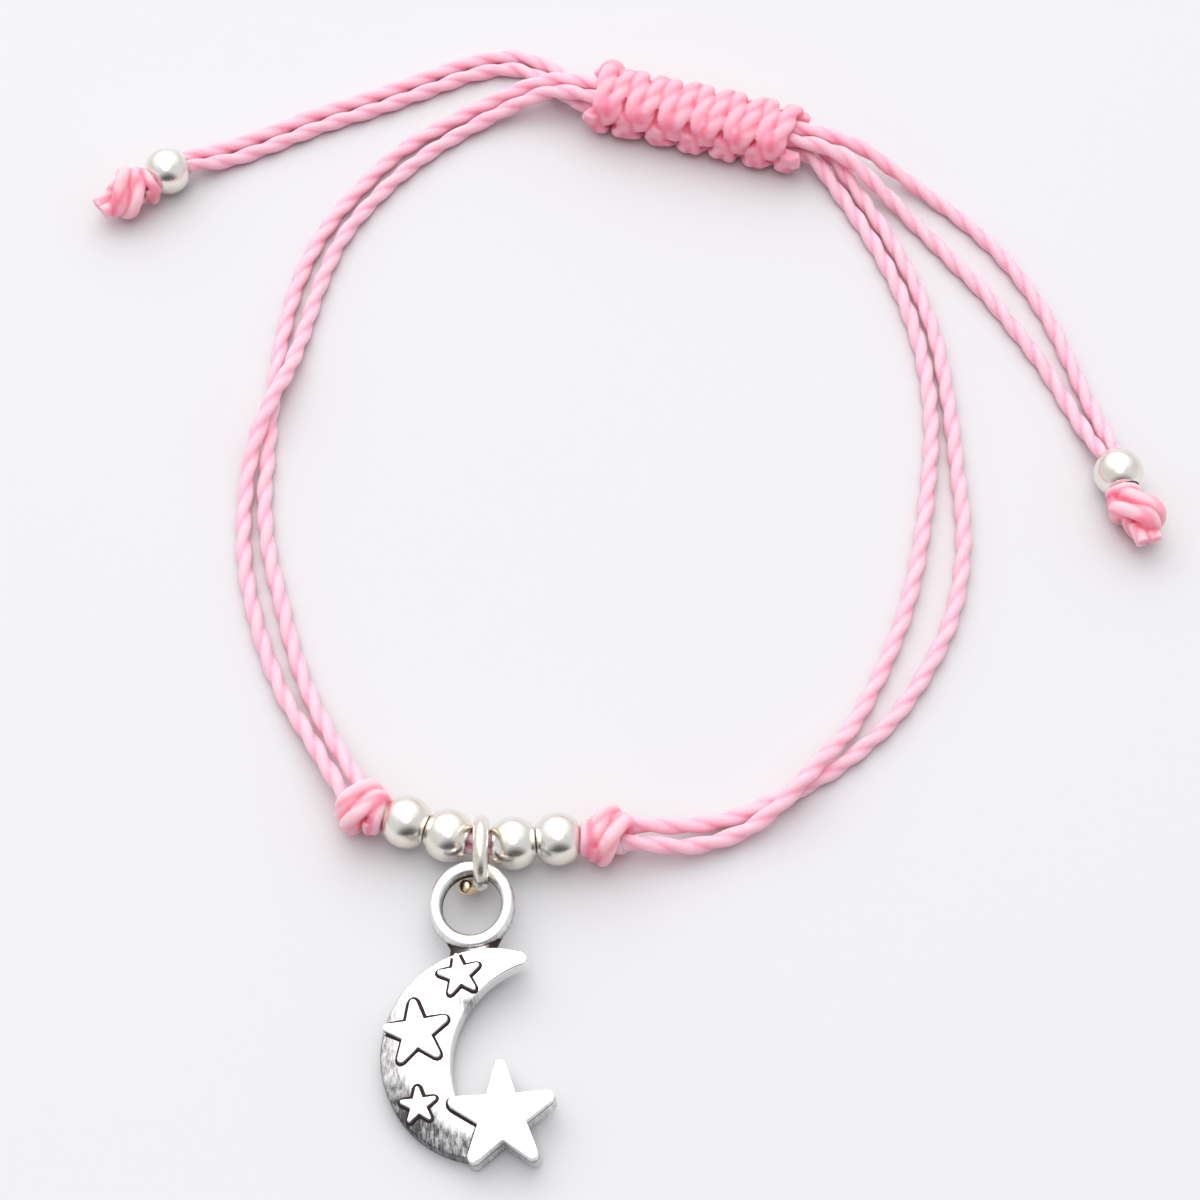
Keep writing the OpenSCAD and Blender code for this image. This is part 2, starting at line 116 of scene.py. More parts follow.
RIGHT_PAIR = [
    (0.0072, -0.0185, 0.00175, 0.00105, 0), (0.0088, -0.0181, 0.0015, 0.0012, 0),
    (0.0112, -0.0174, 0.001, 0.0013, 0), (0.0136, -0.016, 0.00065, 0.00115, -0.0003),
    (0.0154, -0.0144, 0.0009, 0.00075, -0.0008), (0.0168, -0.0128, 0.00105, 0, -0.0011),
    (0.018, -0.0111, 0.0009, -0.00075, -0.0008), (0.0192, -0.0092, 0.00065, -0.0012, -0.0003),
    (0.0203, -0.0068, 0.0005, -0.0019, 0), (0.0213, -0.0036, 0.0005, -0.0024, 0),
    (0.022, -0.0002, 0.0005, -0.0027, 0), (0.0222, 0.0032, 0.0005, -0.0027, 0),
    (0.022, 0.0066, 0.0005, -0.0024, 0), (0.0215, 0.01, 0.0005, -0.0018, 0),
    (0.0209, 0.0134, 0.0005, -0.0013, 0), (0.02, 0.017, 0.0005, -0.0011, 0),
    (0.0188, 0.0205, 0.0005, -0.0011, 0), (0.0171, 0.024, 0.0005, -0.0011, 0),
    (0.015, 0.0273, 0.0005, -0.0011, 0), (0.0127, 0.0303, 0.0005, -0.0011, 0),
    (0.0114, 0.0317, 0.00075, -0.0011, 0), (0.0101, 0.03295, 0.0011, -0.00108, 0),
    (0.0087, 0.03358, 0.00127, -0.00106, 0), (0.0061, 0.03376, 0.00127, -0.00106, 0),
    (0.0013, 0.0341, 0.00127, -0.00106, 0), (-0.0035, 0.03444, 0.00127, -0.00106, 0),
    (-0.0058, 0.0346, 0.00127, -0.00106, 0), (-0.0072, 0.0352, 0.00115, -0.00106, 0),
    (-0.009, 0.0367, 0.0007, -0.0011, 0), (-0.0115, 0.0374, 0.0005, -0.0011, 0),
    (-0.0142, 0.0364, 0.0005, -0.0011, 0), (-0.017, 0.0343, 0.0005, -0.0011, 0),
    (-0.02, 0.032, 0.0005, -0.0011, 0), (-0.023, 0.0299, 0.0005, -0.0011, 0),
    (-0.0258, 0.0276, 0.0005, -0.0011, 0), (-0.0282, 0.0257, 0.0006, -0.0011, 0),
    (-0.0305, 0.02375, 0.0015, -0.00082, 0), (-0.0313, 0.0228, 0.0015, -0.00082, 0),
    (-0.0329, 0.0209, 0.0015, -0.00082, 0),
]

# Camera and picture
CAMERA_AT = (22.45 * MM, -95.24 * MM, 151.72 * MM)
CAMERA_TURN = (32, 0, 12)
CAMERA_LENS = 90
SENSOR = 36

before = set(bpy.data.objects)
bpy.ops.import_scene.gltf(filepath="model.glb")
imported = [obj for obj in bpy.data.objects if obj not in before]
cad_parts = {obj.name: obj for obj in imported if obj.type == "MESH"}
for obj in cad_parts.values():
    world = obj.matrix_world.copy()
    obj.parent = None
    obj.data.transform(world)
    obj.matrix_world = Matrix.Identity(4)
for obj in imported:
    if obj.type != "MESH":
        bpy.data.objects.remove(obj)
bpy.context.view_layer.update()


def direction(turn):
    """The unit vector on the ground at this many degrees from +X."""
    a = math.radians(turn)
    return np.array([math.cos(a), math.sin(a), 0.0])


def unit(v):
    return v / np.maximum(np.linalg.norm(v, axis=-1, keepdims=True), 1e-12)


def rotation(axis, degrees):
    """The matrix that turns about X, Y or Z."""
    c, s = math.cos(math.radians(degrees)), math.sin(math.radians(degrees))
    i, j = ((1, 2), (2, 0), (0, 1))[axis]
    m = np.eye(3)
    m[i, i], m[i, j], m[j, i], m[j, j] = c, -s, s, c
    return m


def placed(local, at, turn):
    """Points along a direction on the ground, across it and up, moved into the frame."""
    return at + local @ np.stack([direction(turn), direction(turn + 90), UP])


def arm_point(turn, far):
    return STRING_BEND + far * direction(turn)


# Meshes

def add_object(name, data):
    obj = bpy.data.objects.new(name, data)
    bpy.context.scene.collection.objects.link(obj)
    return obj


def add_mesh(name, points, faces):
    mesh = bpy.data.meshes.new(name)
    mesh.from_pydata(np.asarray(points, float).tolist(), [], faces)
    return add_object(name, mesh)


def add_piece(node, slot, points, faces, values=None):
    """A smooth mesh object in place of a node, with named values at its points."""
    obj = add_mesh(node + "_look", points, faces)
    mesh = obj.data
    mesh.polygons.foreach_set("use_smooth", [True] * len(mesh.polygons))
    for key, value in (values or {}).items():
        value = np.asarray(value, np.float32)
        kind, field = ("FLOAT", "value") if value.ndim == 1 else ("FLOAT_VECTOR", "vector")
        layer = mesh.attributes.new(key, kind, "POINT")
        layer.data.foreach_set(field, value.ravel())
    mesh.materials.append(LOOKS[slot])
    mesh.update()
    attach(obj, "root")
    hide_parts(node)
    return obj


def skin_faces(count, sides, ends=True):
    """Faces of a tube of count rings of sides points each, that turn from left to up."""
    faces = []
    last = (count - 1) * sides
    for a in range(0, last, sides):
        for k in range(sides):
            b = (k + 1) % sides
            faces.append((a + k, a + b, a + sides + b, a + sides + k))
    if ends:
        faces.append(tuple(reversed(range(sides))))
        faces.append(tuple(range(last, last + sides)))
    return faces


def flipped(faces):
    return [tuple(reversed(face)) for face in faces]


def turned(x, radius, sides):
    """Points of rings about the X axis: one ring at each x, with the radius there."""
    angle = np.linspace(0, 2 * math.pi, sides, endpoint=False)
    return np.stack([np.outer(x, np.ones(sides)), np.outer(radius, np.cos(angle)),
                     np.outer(radius, np.sin(angle))], 2).reshape(-1, 3)


def joined(parts):
    """Several (points, faces, values) as one."""
    points, faces, values = [], [], {}
    start = 0
    for p, f, named in parts:
        points.append(p)
        faces += [tuple(start + i for i in face) for face in f]
        for key, value in named.items():
            values.setdefault(key, []).append(value)
        start += len(p)
    return np.concatenate(points), faces, {k: np.concatenate(v) for k, v in values.items()}


# Paths

def between(a, b, c, d, t):
    """The place at fraction t from b to c, on a smooth curve past a, b, c and d."""
    return (b + (c - a) * t / 2 + (a - 2.5 * b + 2 * c - d / 2) * t**2
            + (1.5 * b - a / 2 - 1.5 * c + d / 2) * t**3)


def smooth(rows, steps=16):
    rows = np.asarray(rows, float)
    last = len(rows) - 1
    out = [
        between(rows[max(0, i - 1)], rows[i], rows[i + 1], rows[min(last, i + 2)], k / steps)
        for i in range(last)
        for k in range(steps)
    ]
    return np.array(out + [rows[last]])


def tangents(path):
    return unit(np.gradient(path, axis=0))


def strand_path(rows, side):
    """One strand of a pair: side is 1 for the first strand and -1 for the second."""
    route = smooth(rows)
    path = route[:, :3].copy()
    along = tangents(path)
    leftward = unit(np.stack([-along[:, 1], along[:, 0], 0 * along[:, 0]], 1))
    path += side * leftward * route[:, 3:4] / 2
    path[:, 2] += side * route[:, 4] / 2
    path[:, 2] = np.maximum(path[:, 2], CORD_D / 2)
    return path


def far_along(path):
    """How far along the path each of its points is."""
    return np.concatenate([[0], np.cumsum(np.linalg.norm(np.diff(path, axis=0), axis=1))])


def evenly(path, spacing):
    """The path again, with its points evenly spaced, and how far along each is."""
    far = far_along(path)
    count = max(2, int(round(far[-1] / spacing)) + 1)
    at = np.linspace(0, far[-1], count)
    return np.stack([np.interp(at, far, path[:, k]) for k in range(3)], 1), at


def carried_frame(path):
    """For each point of the path, two directions across it that turn as little as they can."""
    along = tangents(path)
    side = np.zeros_like(path)
    steep = abs(along[0][2]) >= 0.9
    guess = np.array([1.0, 0, 0]) if steep else UP
    for i, t in enumerate(along):
        guess = guess - t * (guess @ t)
        guess = guess / np.linalg.norm(guess)
        side[i] = guess
    return side, np.cross(along, side)


# Cords

# The length in which the plies turn once, and a ply's distance from the middle, in radii
LAY = 4.2 * MM
PLY_OFFSET = 0.27
RING_SPACING = 0.13 * MM
CORD_SIDES = 24
# The first and second strand of a pair: number, and side of the pair's middle
STRANDS = ((1, 1), (2, -1))


def ply_section(angle):
    """How far out a section of two plies reaches at an angle, as a share of its radius."""
    across = PLY_OFFSET * np.sin(angle)
    return PLY_OFFSET * np.abs(np.cos(angle)) + np.sqrt((1 - PLY_OFFSET) ** 2 - across**2)


def twisted_cord(path, thickness, phase, lay=LAY, sides=CORD_SIDES, flat=None):
    """Points, faces and values of a two-ply cord along evenly spaced points.

    flat is (direction at each point, share): the cord is squeezed to that share there.
    """
    far = far_along(path)
    side, over = carried_frame(path)
    thickness = np.broadcast_to(thickness, (len(path),))
    angle = np.linspace(0, 2 * math.pi, sides, endpoint=False)
    turn = phase + 2 * math.pi * far / lay
    reach = ply_section(angle)
    around = angle[None] + turn[:, None]
    offset = (np.cos(around)[..., None] * side[:, None] + np.sin(around)[..., None] * over[:, None])
    offset = offset * reach[None, :, None] * thickness[:, None, None] / 2
    if flat is not None:
        across, share = flat
        depth = np.sum(offset * across[:, None], axis=2, keepdims=True)
        offset = offset - depth * across[:, None] * (1 - share)
    points = (path[:, None] + offset).reshape(-1, 3)
    own = (far[:, None] / MM, reach * np.cos(angle), reach * np.sin(angle))
    own = np.stack(np.broadcast_arrays(*own), 2)
    # Painted shade: the creases between the plies are marked for the deeper pink.
    crease = np.broadcast_to(np.abs(np.sin(angle)) ** 6, around.shape)
    values = {"strand": own.reshape(-1, 3), "crease": crease.ravel()}
    return points, skin_faces(len(path), sides), values


# Materials

def new_material(name):
    material = bpy.data.materials.new(name)
    material.use_nodes = True
    return material, material.node_tree, material.node_tree.nodes["Principled BSDF"]


def feed(tree, node, inputs):
    """Sets a node's inputs, or links those whose value is another node's output."""
    for key, value in inputs.items():
        if isinstance(value, bpy.types.NodeSocket):
            tree.links.new(value, node.inputs[key])
        else:
            node.inputs[key].default_value = value


def add_node(tree, kind, inputs, **settings):
    node = tree.nodes.new(kind)
    for key, value in settings.items():
        setattr(node, key, value)
    feed(tree, node, inputs)
    return node


def linear(r, g, b):
    """A colour given in 11 to 255 as the screen shows it, as Blender's own values."""
    return (*[((c / 255 + 0.055) / 1.055) ** 2.4 for c in (r, g, b)], 1)


def mix_colour(tree, share, a, b):
    return add_node(tree, "ShaderNodeMix", {0: share, 6: a, 7: b}, data_type="RGBA").outputs[2]


def ramp(tree, value, low, high, out_low=0.0, out_high=1.0):
    return add_node(tree, "ShaderNodeMapRange", {
        "Value": value, "From Min": low, "From Max": high, "To Min": out_low, "To Max": out_high,
    }).outputs[0]


def attribute(tree, name, output="Fac"):
    return add_node(tree, "ShaderNodeAttribute", {}, attribute_name=name).outputs[output]


def noise(tree, place, scale, detail, roughness):
    return add_node(tree, "ShaderNodeTexNoise", {
        "Vector": place, "Scale": scale, "Detail": detail, "Roughness": roughness}).outputs["Fac"]


def stretched(tree, vector, factors):
    return add_node(tree, "ShaderNodeVectorMath", {0: vector, 1: factors},
                    operation="MULTIPLY").outputs[0]


def add_bump(tree, shader, height, strength, distance):
    bump = add_node(tree, "ShaderNodeBump", {
        "Height": height, "Strength": strength, "Distance": distance})
    feed(tree, shader, {"Normal": bump.outputs[0]})


def cord_material(name, light, fibre_and_shade_pink, scatter):
    """Waxed two-ply cord: fibres along the plies, and painted shade in the deeper pink in creases, in
    hollows and on its underside.
    """
    material, tree, shader = new_material(name)
    own = attribute(tree, "strand", "Vector")
    fibres = noise(tree, stretched(tree, own, (0.55, 7.0, 7.0)), 1.6, 3.0, 0.6)
    patches = noise(tree, own, 0.8, 2.0, 0.5)
    normal = add_node(tree, "ShaderNodeNewGeometry", {}).outputs["Normal"]
    upward = add_node(tree, "ShaderNodeSeparateXYZ", {0: normal}).outputs["Z"]
    mixed = light
    # The fibre streaks are the cord's own; the crease, underside and hollow shares are painted shade in
    # the deeper pink.
    for share in (ramp(tree, fibres, 0.3, 0.7, 0.0, 0.28),
                  ramp(tree, attribute(tree, "crease"), 0.0, 1.0, 0.0, 0.45),
                  ramp(tree, upward, 0.3, -0.5, 0.0, 0.5),
                  ramp(tree, attribute(tree, "hollow"), 0.0, 1.0, 0.0, 0.85)):
        mixed = mix_colour(tree, share, mixed, fibre_and_shade_pink)
    feed(tree, shader, {
        "Base Color": mixed, "Roughness": ramp(tree, patches, 0.3, 0.7, 0.38, 0.55),
        "Subsurface Weight": 0.85, "Subsurface Radius": (1.0, 0.36, 0.46),
        "Subsurface Scale": scatter, "Sheen Weight": 0.25, "Sheen Roughness": 0.4})
    add_bump(tree, shader, fibres, 0.5, 0.08 * MM)
    return material


def silver_material(name, base, tint, roughness, scuffs):
    """Plated metal with soft warm patches and fine scuffs, and brass where the warm value says."""
    material, tree, shader = new_material(name)
    place = add_node(tree, "ShaderNodeTexCoord", {}).outputs["Object"]
    patches = noise(tree, place, 900.0, 4.0, 0.6)
    grain = noise(tree, place, 8000.0, 4.0, 0.7)
    mixed = mix_colour(tree, ramp(tree, patches, 0.42, 0.68, 0.0, 0.8), base, tint)
    mixed = mix_colour(tree, attribute(tree, "warm"), mixed, linear(234, 210, 172))
    uneven = ramp(tree, grain, 0.3, 0.75, roughness * 0.7, roughness * 1.7)
    feed(tree, shader, {"Base Color": mixed, "Metallic": 1.0, "Roughness": uneven})
    add_bump(tree, shader, grain, scuffs, 0.015 * MM)
    return material


def antique_material():
    """Cast silver with streaky grey patina where dark says, which on the ring is partly painted shade, and
    near black where groove says.
    """
    material, tree, shader = new_material("antique_silver")
    place = add_node(tree, "ShaderNodeTexCoord", {}).outputs["Object"]
    groove = attribute(tree, "groove")
    plan = attribute(tree, "plan", "Vector")
    streaks = noise(tree, stretched(tree, plan, (5.5, 1.6, 1.0)), 1.3, 5.0, 0.68)
    grain = noise(tree, place, 4200.0, 4.0, 0.7)
    uneven = ramp(tree, streaks, 0.2, 0.8, -0.5, 0.5)
    total = add_node(tree, "ShaderNodeMath", {0: attribute(tree, "dark"), 1: uneven},
                     operation="ADD").outputs[0]
    share = ramp(tree, total, 0.2, 1.2, 0.0, 1.0)
    mixed = mix_colour(tree, share, linear(243, 241, 240), linear(74, 73, 76))
    mixed = mix_colour(tree, groove, mixed, linear(52, 40, 38))
    # Old tarnish in the grooves is dull, not metal.
    metal = ramp(tree, groove, 0.3, 0.8, 1.0, 0.1)
    worn = ramp(tree, share, 0.0, 1.0, 0.24, 0.45)
    dull = add_node(tree, "ShaderNodeMath", {0: worn, 1: groove}, operation="MAXIMUM").outputs[0]
    feed(tree, shader, {"Base Color": mixed, "Metallic": metal, "Roughness": dull})
    add_bump(tree, shader, grain, 0.12, 0.03 * MM)
    return material


# The material of each of the record's slots
LOOKS = {
    # Each cord look has a pale pink and a deeper pink; the deeper one gives fibres and painted shade.
    "cord": cord_material("pink_cord", linear(255, 200, 210), linear(255, 148, 186), 1.0 * MM),
    "cord_knot": cord_material("pink_knot", linear(255, 203, 210), linear(255, 132, 158), 1.5 * MM),
    "cord_slider": cord_material("pink_slider", linear(255, 184, 197), linear(255, 124, 156), 1.5 * MM),
    "bead_silver": silver_material("bead_silver", linear(243, 240, 234), linear(238, 228, 212), 0.16, 0.5),
    "ring_silver": silver_material("ring_silver", linear(240, 236, 229), linear(224, 211, 188), 0.2, 0.25),
    "antique_silver": antique_material(),
}


# Camera

camera = add_object("camera", bpy.data.cameras.new("camera"))
camera.location = CAMERA_AT
camera.rotation_euler = [math.radians(a) for a in CAMERA_TURN]
camera.data.lens = CAMERA_LENS
camera.data.sensor_width = SENSOR
camera.data.clip_start = 0.01
bpy.context.scene.camera = camera

# The four long cords: each is squeezed at its end, through its end bead and into its knot

NARROW_L = 3.7 * MM
TAPER_L = 2.4 * MM


def long_cord(node, rows, side, phase):
    """The cord's mesh piece, and the points that it follows."""
    path, far = evenly(strand_path(rows, side), RING_SPACING)
    free = np.clip((far[-1] - far - NARROW_L) / TAPER_L, 0, 1)
    thickness = SQUEEZED_D + (CORD_D - SQUEEZED_D) * free
    return add_piece(node, "cord", *twisted_cord(path, thickness, phase)), path


long_cords = {
    (pair, number): long_cord(f"{pair}_cord_{number}", rows, side, number * 0.8)
    for pair, rows in (("left", LEFT_PAIR), ("right", RIGHT_PAIR))
    for number, side in STRANDS
}

# The two strands through the front beads: they end inside the front knots

END_IN_KNOT = 0.45 * MM
BEND_FAR = 0.6 * MM

left_end = LEFT_BEAD_FACE + LEFT_KNOT_L / 2 - END_IN_KNOT
right_end = RIGHT_BEAD_FACE + RIGHT_KNOT_L / 2 - END_IN_KNOT
string = [arm_point(LEFT_ARM_TURN, far) for far in (left_end, *LEFT_BEADS[::-1], BEND_FAR)]
string.append(STRING_BEND)
string += [arm_point(RIGHT_ARM_TURN, far) for far in (BEND_FAR, *RIGHT_BEADS, right_end)]
lean = math.radians(BEAD_PAIR_LEAN)
aside = BEAD_STRAND_D / 2 * (math.cos(lean) * direction(RING_TURN + 90) + math.sin(lean) * UP)
for number, side in STRANDS:
    path, _ = evenly(smooth(np.array(string) + side * aside), RING_SPACING)
    add_piece(f"bead_cord_{number}", "cord", *twisted_cord(path, BEAD_STRAND_D, number))


# Knots

def pull_tight(line, thick, length, reach, rounds):
    """The line as a rope of this thickness, drawn in to this length by its two ends on X.

    Each round straightens it a little, evens its links and pushes turns that press apart.
    """
    haste, straightening, pushing = 1.25, 0.08, 0.5
    own_turn = 1.35 * thick
    count = len(line)
    apart = np.abs(np.arange(count)[:, None] - np.arange(count)[None])
    first = np.linalg.norm(np.diff(line, axis=0), axis=1).sum()
    for i in range(rounds):
        share = min(1, haste * i / rounds)
        step = (first + (length - first) * share) / (count - 1)
        line[1:-1] += straightening * (line[:-2] + line[2:] - 2 * line[1:-1])
        for _ in range(4):
            for start in (0, 1):
                a, b = line[start:-1:2], line[start + 1::2]
                a = a[:len(b)]
                gap = b - a
                far = np.linalg.norm(gap, axis=1, keepdims=True)
                fix = gap * (1 - step / np.maximum(far, 1e-9)) / 2
                a += fix
                b -= fix
            gap = line[None] - line[:, None]
            far = np.linalg.norm(gap, axis=2)
            near = (far < thick) & (apart * step > own_turn)
            push = np.where(near, (thick - far) / np.maximum(far, 1e-9), 0)[..., None] * gap
            line -= pushing * push.sum(axis=1) / np.maximum(near.sum(axis=1), 1)[:, None]
        middle = line[count // 4:-count // 4].mean(axis=0)
        line[0] = (-reach, middle[1], middle[2])
        line[-1] = (reach, middle[1], middle[2])
    return line - line[count // 4:-count // 4].mean(axis=0)


def overhand_line():
    """The middle line of a pulled overhand knot in a rope that is 1 thick, along X."""
    t = np.linspace(-2.35, 2.35, 90)
    loose = 0.55 * np.stack([t**3 - 3 * t, 0.55 * (t**4 - 4 * t**2), 0.16 * (t**5 - 10 * t)], 1)
    return pull_tight(loose, thick=1.0, length=15.5, reach=3.4, rounds=600)


def side_by_side(path, width):
    """For each point, the direction along the knot's surface in which two strands lie.

    It is evened out over this odd number of points, as a direction that has no sign.
    """
    side, over = carried_frame(path)
    along = tangents(path)
    outward = path - np.sum(path * along, axis=1, keepdims=True) * along
    flat = np.stack([np.sum(outward * side, axis=1), np.sum(outward * over, axis=1)], 1)
    doubled = (flat[:, 0] + 1j * flat[:, 1]) ** 2
    window = np.hanning(width)
    doubled = np.convolve(np.pad(doubled, width // 2, "edge"), window, "valid")[:len(path)]
    angle = np.unwrap(np.angle(doubled)) / 2 + math.pi / 2
    return side * np.cos(angle)[:, None] + over * np.sin(angle)[:, None]


def hollows(points, own, paths, thickness):
    """How deep each point of strand number own lies between strands, which sets its painted shade: 0 is
    open, 1 is inside.

    On its own strand a point only minds what lies further along than own_turn.
    """
    own_turn, far_away = 1.8 * thickness, 1.0
    own_path = paths[own]
    step = np.linalg.norm(own_path[1] - own_path[0])
    ring = np.repeat(np.arange(len(own_path)), len(points) // len(own_path))
    nearest = np.full(len(points), far_away)
    for k, path in enumerate(paths):
        far = np.linalg.norm(points[:, None] - path[None], axis=2)
        if k == own:
            along = np.abs(ring[:, None] - np.arange(len(path))[None]) * step
            far = np.where(along < own_turn, far_away, far)
        nearest = np.minimum(nearest, far.min(axis=1))
    inside, fading = 0.4 * thickness, 0.3 * MM
    return np.clip(1.25 - (nearest - inside) / fading, 0, 1) ** 1.5


def welded(points, faces, values, voxel, rounds):
    """One softened skin round strands that press into each other, with their values on it."""
    obj = add_mesh("weld", points, faces)
    remesh = obj.modifiers.new("remesh", "REMESH")
    remesh.mode = "VOXEL"
    remesh.voxel_size = voxel
    soften = obj.modifiers.new("soften", "SMOOTH")
    soften.iterations = rounds
    solid = obj.evaluated_get(bpy.context.evaluated_depsgraph_get())
    skin = solid.to_mesh()
    skin_points = np.array([v.co for v in skin.vertices])
    polygons = [tuple(p.vertices) for p in skin.polygons]
    solid.to_mesh_clear()
    mesh = obj.data
    bpy.data.objects.remove(obj)
    bpy.data.meshes.remove(mesh)
    tree = KDTree(len(points))
    for i, point in enumerate(points):
        tree.insert(point, i)
    tree.balance()
    # Each value on the skin is that of the four nearest points, weighed by how near they are.
    near = np.array([[hit[1:] for hit in tree.find_n(point, 4)] for point in skin_points])
    index, weight = near[..., 0].astype(int), 1 / (near[..., 1] + 0.02 * MM)
    weight = weight / weight.sum(axis=1, keepdims=True)
    out = {}
    for key, value in values.items():
        share = weight if value.ndim == 1 else weight[..., None]
        out[key] = np.sum(value[index] * share, axis=1)
    return skin_points, polygons, out


OVERHAND = overhand_line()
# The knot's own line is kept up to this far from its middle; the cords carry on inside it.
KNOT_KEPT = 1.25
KNOT_LINE_SPACING = 0.06
# How far apart the two strands lie, and how far one reaches past its line, in thicknesses
PAIR_IN_KNOT = 0.84
STRAND_REACH = 0.46
KNOT_LAY = 6 * MM
KNOT_SIDES = 20
KNOT_SPACING = 0.09 * MM
KNOT_WELD = 0.065 * MM
EXTRA_CORD_D = 0.9 * MM


def add_knot(node, at, turn, length, thick, roll, strand_d, phase, extras):
    """An overhand knot tied in two strands, fitted to the part's knot, with extra lengths of cord."""
    line, _ = evenly(OVERHAND, KNOT_LINE_SPACING)
    line = line[np.abs(line[:, 0]) < KNOT_KEPT]
    line = line @ rotation(0, roll).T
    apart = side_by_side(line, 21) * strand_d * PAIR_IN_KNOT / 2
    half = np.array([length, thick, thick]) / 2
    scale = half / np.abs(line).max(axis=0)
    # The two strands reach past the line, so the fit is made in a few rounds.
    for _ in range(8):
        reach = np.maximum(np.abs(line * scale + apart), np.abs(line * scale - apart)).max(axis=0)
        scale = scale * (half - STRAND_REACH * strand_d) / reach
    lines = [placed(line * scale + side * apart, at, turn) for side in (1, -1)]
    paths = [evenly(np.array(points), KNOT_SPACING)[0] for points in lines + extras]
    parts = []
    for k, path in enumerate(paths):
        thickness = strand_d if k < 2 else EXTRA_CORD_D
        points, faces, values = twisted_cord(path, thickness, phase + k, KNOT_LAY, KNOT_SIDES)
        # Painted shade where a strand lies deep between the others.
        values["hollow"] = hollows(points, k, paths, thickness)
        parts.append((points, faces, values))
    return add_piece(node, "cord_knot", *welded(*joined(parts), KNOT_WELD, 2))


def collar(face, turn, towards):
    """A turn of cord that a knot squeezes out against its bead's face, wider towards one side."""
    from_face, wider, radius, slant = 0.48 * MM, 0.25 * MM, 0.8 * MM, 0.12 * MM
    middle = face + from_face * direction(turn)
    across = direction(turn + 90 * towards)
    a = np.linspace(0, 2.2 * math.pi, 60)[:, None]
    along = np.linspace(-slant, slant, 60)[:, None] * direction(turn)
    return middle + wider * across + radius * (np.cos(a) * across + np.sin(a) * UP) + along


def end_knot(node, at, turn, roll, phase, towards):
    """The knot under an end bead, with two short stubs of cut cord at its end."""
    along, across = direction(turn), direction(turn + 90)
    middle = np.array([at[0], at[1], END_KNOT_D / 2])
    middle = middle + (BEAD_L / 2 + 0.05 * MM + END_KNOT_L / 2) * along
    stubs = [(middle + 0.6 * MM * along + s * 0.4 * MM * across,
              middle + (END_KNOT_L / 2 - 0.05 * MM) * along + s * 0.42 * MM * across)
             for s in (1, -1)]
    # The knot itself leaves room for the stubs.
    return add_knot(node, middle - 0.2 * MM * along, turn, END_KNOT_L - 0.4 * MM, END_KNOT_D, roll,
                    1.15 * MM, phase, stubs + [collar(at + BEAD_L / 2 * along, turn, towards)])


# The front knots stand a little into their beads' faces, and the left one is turned round.
INTO_BEAD = 0.1 * MM
for node, turn, knot_turn, face, length, strand_d, phase, towards in (
        ("left_front_knot", LEFT_ARM_TURN, 180, LEFT_BEAD_FACE, LEFT_KNOT_L, 1.15 * MM, 0.0, 1),
        ("right_front_knot", RIGHT_ARM_TURN, 0, RIGHT_BEAD_FACE, RIGHT_KNOT_L, 1.2 * MM, 1.0, -1)):
    add_knot(node, arm_point(turn, face + length / 2 - INTO_BEAD), turn + knot_turn, length,
             FRONT_KNOT_D, 90, strand_d, phase, [collar(arm_point(turn, face), turn, towards)])
left_end_knot = end_knot("left_end_knot", LEFT_END_AT, LEFT_END_TURN, 60, 0.4, 1)
right_end_knot = end_knot("right_end_knot", RIGHT_END_AT, RIGHT_END_TURN, 100, 1.7, -1)

# Slider: one cord crosses over the four strands and the other under them, turn by turn

HALF_KNOTS = 2 * SLIDER_KNOTS
SLIDER_CORD_D = 1.34 * MM
SLIDER_CORD_FLAT = 0.68
SLIDER_PRESS_D = 1.1 * MM
SLIDER_LAY = 3.6 * MM
SLIDER_SPACING = 0.11 * MM
SLIDER_WELD = 0.085 * MM


def slider_cord(over):
    """A working cord's path, in the slider's own frame. over is 1 above the strands and -1 below."""
    # How far in from the slider's side it turns, how far past the middle, and how far shifted
    inset, past, shift = (0.55 * MM, 0.35 * MM, 0) if over > 0 else (0.48 * MM, 0.6 * MM, 0.2 * MM)
    past_end = 0.12
    t = np.linspace(-past_end, HALF_KNOTS + past_end, 900)
    pitch = SLIDER_L / (HALF_KNOTS + 0.9)
    crossing = np.abs(np.sin(math.pi * t))
    x = pitch * (t - HALF_KNOTS / 2 + 0.1 * np.sin(2 * math.pi * t)) + shift
    side = np.clip(1.25 * np.cos(math.pi * t), -1, 1)
    high = SLIDER_H / 2 - 0.42 * MM
    z = over * (high * crossing**0.55 - past * (1 - crossing) ** 2)
    return np.stack([x, over * side * (SLIDER_W / 2 - inset), z], 1)


def in_slider(local):
    return placed(local, SLIDER_AT, SLIDER_TURN)


def slider_turns():
    """The two working cords, each pressed flat against the slider's middle."""
    lines = [evenly(slider_cord(over), SLIDER_SPACING)[0] for over in (1, -1)]
    paths = [in_slider(local) for local in lines]
    parts = []
    for k, local in enumerate(lines):
        outward = in_slider(unit(local * (0, 1, 1))) - SLIDER_AT
        points, faces, values = twisted_cord(paths[k], SLIDER_CORD_D, 0.5 - k, SLIDER_LAY, KNOT_SIDES,
                                             (outward, SLIDER_CORD_FLAT))
        # Painted shade where the working cords press between each other.
        values["hollow"] = hollows(points, k, paths, SLIDER_PRESS_D)
        parts.append((points, faces, values))
    return parts


def lump(local, rows, sides, crease, hollow):
    """A closed skin in the slider, with the same painted crease shade and hollow shade all over."""
    values = {"strand": local / MM, "crease": np.full(len(local), crease),
              "hollow": np.full(len(local), hollow)}
    return in_slider(local), skin_faces(rows, sides), values


